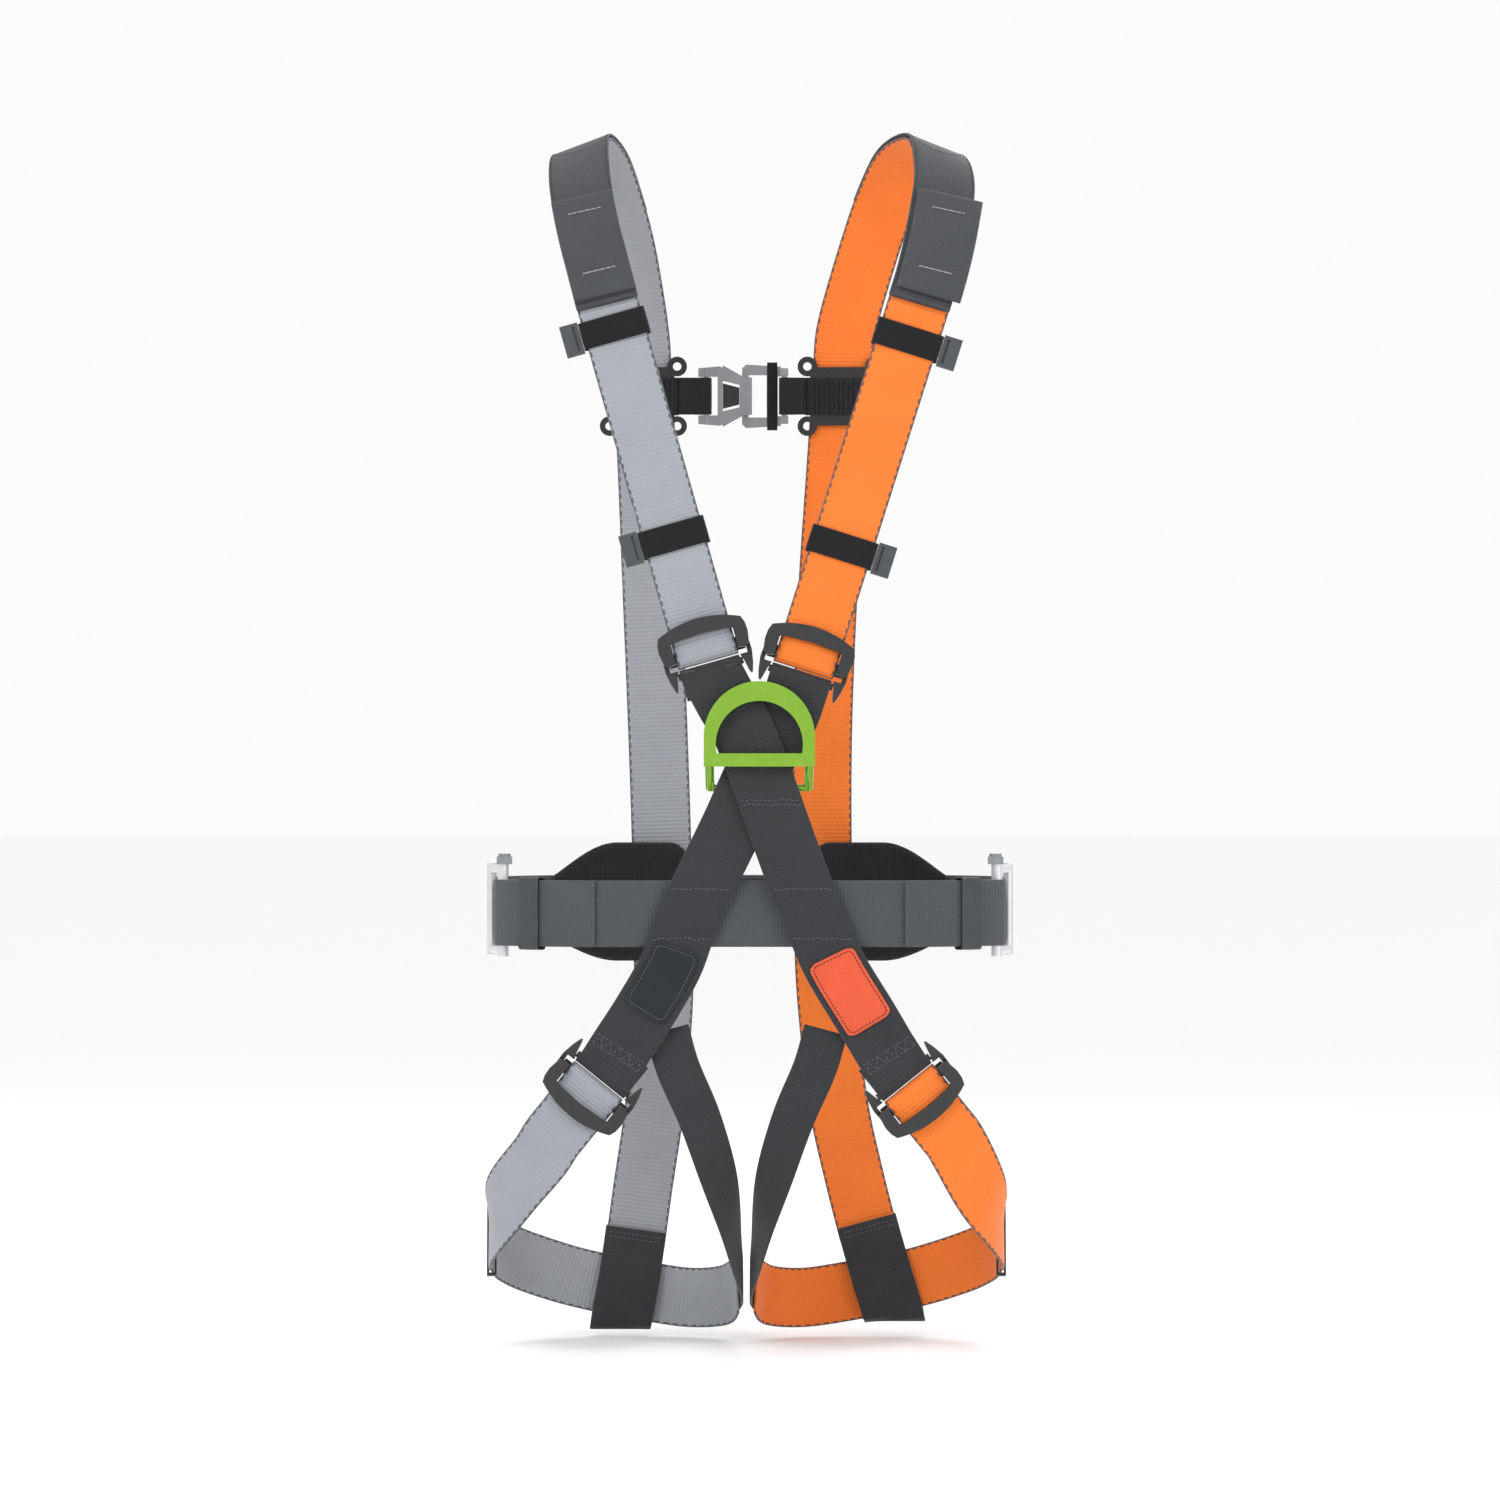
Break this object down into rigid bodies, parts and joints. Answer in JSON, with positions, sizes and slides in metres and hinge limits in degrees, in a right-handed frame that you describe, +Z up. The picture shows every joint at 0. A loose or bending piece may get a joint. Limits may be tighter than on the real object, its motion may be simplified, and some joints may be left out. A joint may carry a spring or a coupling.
{
  "type": "safety harness",
  "caption": "Full-body fall-arrest harness in its worn shape: webbing loops, waist belt with pad, buckles, breast ring, side rings",
  "frame": {"origin": "centre of the waist ring", "axes": "+X toward the image's right, +Y to the back, +Z up"},
  "size_m": [0.388, 0.254, 0.8952],
  "materials": {
    "webbing_grey": "matte",
    "webbing_orange": "matte",
    "webbing_dark": "matte",
    "webbing_belt": "matte",
    "webbing_black": "matte",
    "pad_fabric": "matte",
    "steel_silver": "satin",
    "ring_green": "satin",
    "buckle_black": "satin",
    "elastic_black": "matte",
    "plastic_grey": "matte",
    "rubber_belt": "matte",
    "plate_black": "matte",
    "steel_grey": "satin",
    "patch_black": "matte",
    "patch_orange": "matte"
  },
  "bodies": {
    "harness": {"main_strap_left": "webbing_grey", "leg_strap_left": "webbing_grey", "main_strap_right": "webbing_orange", "leg_strap_right": "webbing_orange", "shoulder_sleeve_left": "webbing_dark", "shoulder_sleeve_right": "webbing_dark", "lanyard_pocket_left": "webbing_dark", "lanyard_pocket_right": "webbing_dark", "cross_strap_a": "webbing_dark", "cross_strap_b": "webbing_dark", "crotch_strap_left": "webbing_dark", "crotch_strap_right": "webbing_dark", "end_loop_left": "webbing_dark", "end_loop_right": "webbing_dark", "belt_front": "webbing_belt", "belt_rear": "webbing_belt", "lumbar_pad": "pad_fabric", "buckle_frame_shoulder_left": "buckle_black", "buckle_frame_shoulder_right": "buckle_black", "buckle_frame_leg_left": "buckle_black", "buckle_frame_leg_right": "buckle_black", "blank_patch": "patch_black", "orange_patch": "patch_orange"},
    "sternal": {"sternal_ring": "ring_green"},
    "ring_left": {"side_ring_left": "steel_silver", "ring_head_left": "steel_silver"},
    "ring_right": {"side_ring_right": "steel_silver", "ring_head_right": "steel_silver"},
    "lever_shoulder_left": {"buckle_lever_shoulder_left": "buckle_black"},
    "lever_shoulder_right": {"buckle_lever_shoulder_right": "buckle_black"},
    "lever_leg_left": {"buckle_lever_leg_left": "buckle_black"},
    "lever_leg_right": {"buckle_lever_leg_right": "buckle_black"},
    "keeper_left_upper": {"keeper_band_left_upper": "elastic_black", "keeper_clip_left_upper": "plastic_grey"},
    "keeper_left_lower": {"keeper_band_left_lower": "elastic_black", "keeper_clip_left_lower": "plastic_grey"},
    "keeper_right_upper": {"keeper_band_right_upper": "elastic_black", "keeper_clip_right_upper": "plastic_grey"},
    "keeper_right_lower": {"keeper_band_right_lower": "elastic_black", "keeper_clip_right_lower": "plastic_grey"},
    "belt_slide_left": {"belt_keeper_left": "rubber_belt"},
    "belt_slide_right": {"belt_keeper_right": "rubber_belt"},
    "leg_slide_left": {"leg_keeper_left": "plate_black"},
    "leg_slide_right": {"leg_keeper_right": "plate_black"},
    "chest": {"chest_plate_left": "plate_black", "chest_plate_right": "plate_black", "chest_web_left": "webbing_black", "chest_web_right": "webbing_black", "chest_frame": "steel_grey", "chest_stop": "plate_black", "chest_hook": "steel_grey", "chest_hook_tongue": "plate_black"}
  },
  "joints": [
    {"name": "sternal_ring_turn", "type": "hinge", "parent": "harness", "child": "sternal", "pos_m": [0.0067, -0.1155, 0.091], "axis": [1, 0, 0], "range_deg": [0, 50]},
    {"name": "side_ring_turn_left", "type": "hinge", "parent": "harness", "child": "ring_left", "pos_m": [-0.17997, -0.07529, 0], "axis": [0, 0, 1], "range_deg": [0, 60]},
    {"name": "side_ring_turn_right", "type": "hinge", "parent": "harness", "child": "ring_right", "pos_m": [0.17997, -0.07529, 0], "axis": [0, 0, -1], "range_deg": [0, 60]},
    {"name": "lever_turn_shoulder_left", "type": "hinge", "parent": "harness", "child": "lever_shoulder_left", "pos_m": [-0.03169, -0.11978, 0.18913], "axis": [0.962, 0, 0.2729], "range_deg": [0, 25]},
    {"name": "lever_turn_shoulder_right", "type": "hinge", "parent": "harness", "child": "lever_shoulder_right", "pos_m": [0.04036, -0.12045, 0.18287], "axis": [0.9532, 0, -0.3024], "range_deg": [0, 25]},
    {"name": "lever_turn_leg_left", "type": "hinge", "parent": "harness", "child": "lever_leg_left", "pos_m": [-0.114, -0.112, -0.126], "axis": [-0.7789, 0, 0.6272], "range_deg": [0, 25]},
    {"name": "lever_turn_leg_right", "type": "hinge", "parent": "harness", "child": "lever_leg_right", "pos_m": [0.119, -0.112, -0.128], "axis": [-0.7789, 0, -0.6272], "range_deg": [0, 25]},
    {"name": "keeper_slide_left_upper", "type": "slide", "parent": "harness", "child": "keeper_left_upper", "axis": [-0.2715, 0.1012, 0.9571], "range_m": [-0.07, 0]},
    {"name": "keeper_slide_left_lower", "type": "slide", "parent": "harness", "child": "keeper_left_lower", "axis": [-0.2715, 0.1012, 0.9571], "range_m": [-0.02, 0.06]},
    {"name": "keeper_slide_right_upper", "type": "slide", "parent": "harness", "child": "keeper_right_upper", "axis": [0.3009, 0.1003, 0.9484], "range_m": [-0.07, 0]},
    {"name": "keeper_slide_right_lower", "type": "slide", "parent": "harness", "child": "keeper_right_lower", "axis": [0.3009, 0.1003, 0.9484], "range_m": [-0.02, 0.06]},
    {"name": "belt_keeper_slide_left", "type": "hinge", "parent": "harness", "child": "belt_slide_left", "pos_m": [-0.11, -0.0365, 0], "axis": [0, 0, 1], "range_deg": [-3, 8]},
    {"name": "belt_keeper_slide_right", "type": "hinge", "parent": "harness", "child": "belt_slide_right", "pos_m": [0.11, -0.0365, 0], "axis": [0, 0, -1], "range_deg": [-3, 8]},
    {"name": "leg_keeper_slide_left", "type": "slide", "parent": "harness", "child": "leg_slide_left", "axis": [0, 0.991, -0.1339], "range_m": [-0.004, 0.008]},
    {"name": "leg_keeper_slide_right", "type": "slide", "parent": "harness", "child": "leg_slide_right", "axis": [0, 0.991, -0.1339], "range_m": [-0.004, 0.008]},
    {"name": "chest_strap_slide", "type": "slide", "parent": "harness", "child": "chest", "axis": [0, 0, 1], "range_m": [-0.025, 0]}
  ]
}
